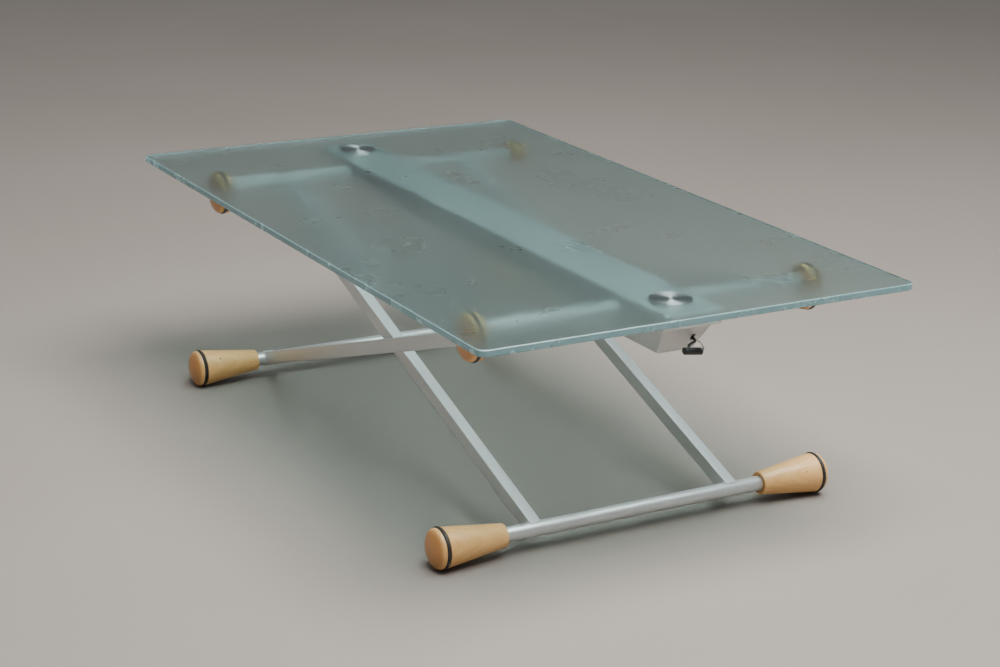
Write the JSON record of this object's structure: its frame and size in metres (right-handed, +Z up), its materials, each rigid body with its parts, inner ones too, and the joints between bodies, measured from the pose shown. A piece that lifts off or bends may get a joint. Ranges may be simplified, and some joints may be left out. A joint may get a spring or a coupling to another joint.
{
  "type": "height-adjustable scissor table",
  "caption": "Frosted glass table on two crossed steel leg frames, raised and lowered by a gas spring in the beam under the glass, with turned beech wheels on rubber rings.",
  "frame": {"origin": "on the floor, under the middle of the glass", "axes": "+X along the table towards the release lever, +Y across it, +Z up"},
  "size_m": [1.2, 0.75, 0.3872],
  "materials": {
    "frosted_glass": "acid-etched, satin, polished edges",
    "silver_paint": "satin silver",
    "brushed_steel": "turned, fine rings",
    "zinc_steel": "zinc plated",
    "chrome": "bright",
    "beech": "clear satin lacquer",
    "rubber": "matt",
    "black_plastic": "moulded, satin",
    "black_paint": "satin black",
    "nylon": "machined",
    "clear_pad": "clear"
  },
  "bodies": {
    "far_axle": {"far_floor_axle": "zinc_steel"},
    "outer_frame": {"outer_leg_left": "silver_paint", "outer_leg_right": "silver_paint", "far_floor_tube": "silver_paint", "near_top_tube": "silver_paint", "near_top_axle": "zinc_steel", "pivot_bolt_left": "zinc_steel", "pivot_bolt_right": "zinc_steel", "pivot_spacer_left": "nylon", "pivot_spacer_right": "nylon", "pivot_insert_left": "zinc_steel", "pivot_insert_right": "zinc_steel"},
    "inner_frame": {"inner_leg_left": "silver_paint", "inner_leg_right": "silver_paint", "near_floor_tube": "silver_paint", "far_top_tube": "silver_paint", "near_floor_axle": "zinc_steel", "far_top_axle": "zinc_steel"},
    "table_top": {"glass_top": "frosted_glass", "far_glass_disc": "brushed_steel", "near_glass_disc": "brushed_steel", "far_disc_pad": "clear_pad", "near_disc_pad": "clear_pad", "far_disc_nut": "zinc_steel", "near_disc_nut": "zinc_steel", "beam_channel": "silver_paint", "beam_top_plate": "silver_paint", "far_end_plate": "silver_paint", "near_end_plate": "silver_paint", "near_bearing_block": "nylon", "spring_cylinder": "black_paint", "spring_anchor": "zinc_steel", "release_pivot": "zinc_steel"},
    "slider": {"far_slider_block": "nylon", "spring_rod": "chrome"},
    "release_lever": {"release_arm": "black_plastic", "release_grip": "black_plastic", "release_bail": "chrome"},
    "valve_rod": {"release_rod": "zinc_steel"},
    "far_left_wheel": {"far_left_cone": "beech", "far_left_pin": "zinc_steel", "far_left_ring": "rubber"},
    "far_right_wheel": {"far_right_cone": "beech", "far_right_pin": "zinc_steel", "far_right_ring": "rubber"},
    "near_left_wheel": {"near_left_cone": "beech", "near_left_pin": "zinc_steel", "near_left_ring": "rubber"},
    "near_right_wheel": {"near_right_cone": "beech", "near_right_pin": "zinc_steel", "near_right_ring": "rubber"},
    "far_top_left_wheel": {"far_top_left_roller": "beech", "far_top_left_ring": "rubber"},
    "far_top_right_wheel": {"far_top_right_roller": "beech", "far_top_right_ring": "rubber"},
    "near_top_left_wheel": {"near_top_left_roller": "beech", "near_top_left_ring": "rubber"},
    "near_top_right_wheel": {"near_top_right_roller": "beech", "near_top_right_ring": "rubber"}
  },
  "joints": [
    {"name": "lift", "type": "hinge", "parent": "far_axle", "child": "outer_frame", "pos_m": [-0.4394, 0, 0.0327], "axis": [0, -1, 0], "range_deg": [-5.5, 27.6]},
    {"name": "scissor", "type": "hinge", "parent": "outer_frame", "child": "inner_frame", "pos_m": [0, 0, 0.18825], "axis": [0, -1, 0], "range_deg": [-55.6, 11.4]},
    {"name": "top_level", "type": "hinge", "parent": "outer_frame", "child": "table_top", "pos_m": [0.4394, 0, 0.3438], "axis": [0, -1, 0], "range_deg": [-27.8, 5.7]},
    {"name": "slider_level", "type": "hinge", "parent": "inner_frame", "child": "slider", "pos_m": [-0.4394, 0, 0.3438], "axis": [0, -1, 0], "range_deg": [-5.7, 27.8]},
    {"name": "release", "type": "hinge", "parent": "table_top", "child": "release_lever", "pos_m": [0.5105, 0, 0.3338], "axis": [0, -1, 0], "range_deg": [0, 12], "stiffness_Nm_per_rad": 1, "springref_deg": -8.59},
    {"name": "valve_pull", "type": "slide", "parent": "table_top", "child": "valve_rod", "axis": [1, 0, 0], "range_m": [-0.0001, 0.004]},
    {"name": "far_left_roll", "type": "hinge", "parent": "far_axle", "child": "far_left_wheel", "pos_m": [-0.4394, -0.339, 0.0327], "axis": [0, 1, 0], "continuous": true},
    {"name": "far_right_roll", "type": "hinge", "parent": "far_axle", "child": "far_right_wheel", "pos_m": [-0.4394, 0.339, 0.0327], "axis": [0, 1, 0], "continuous": true},
    {"name": "near_left_roll", "type": "hinge", "parent": "inner_frame", "child": "near_left_wheel", "pos_m": [0.4394, -0.339, 0.0327], "axis": [0, 1, 0], "continuous": true},
    {"name": "near_right_roll", "type": "hinge", "parent": "inner_frame", "child": "near_right_wheel", "pos_m": [0.4394, 0.339, 0.0327], "axis": [0, 1, 0], "continuous": true},
    {"name": "far_top_left_roll", "type": "hinge", "parent": "inner_frame", "child": "far_top_left_wheel", "pos_m": [-0.4394, -0.297, 0.3438], "axis": [0, 1, 0], "continuous": true},
    {"name": "far_top_right_roll", "type": "hinge", "parent": "inner_frame", "child": "far_top_right_wheel", "pos_m": [-0.4394, 0.297, 0.3438], "axis": [0, 1, 0], "continuous": true},
    {"name": "near_top_left_roll", "type": "hinge", "parent": "outer_frame", "child": "near_top_left_wheel", "pos_m": [0.4394, -0.297, 0.3438], "axis": [0, 1, 0], "continuous": true},
    {"name": "near_top_right_roll", "type": "hinge", "parent": "outer_frame", "child": "near_top_right_wheel", "pos_m": [0.4394, 0.297, 0.3438], "axis": [0, 1, 0], "continuous": true}
  ],
  "couplings": [
    {"joint": "scissor", "follows": "lift", "ratio": -2},
    {"joint": "top_level", "follows": "lift", "ratio": -1},
    {"joint": "slider_level", "follows": "lift", "ratio": 1},
    {"joint": "valve_pull", "follows": "release", "m_per_rad": 0.017}
  ]
}
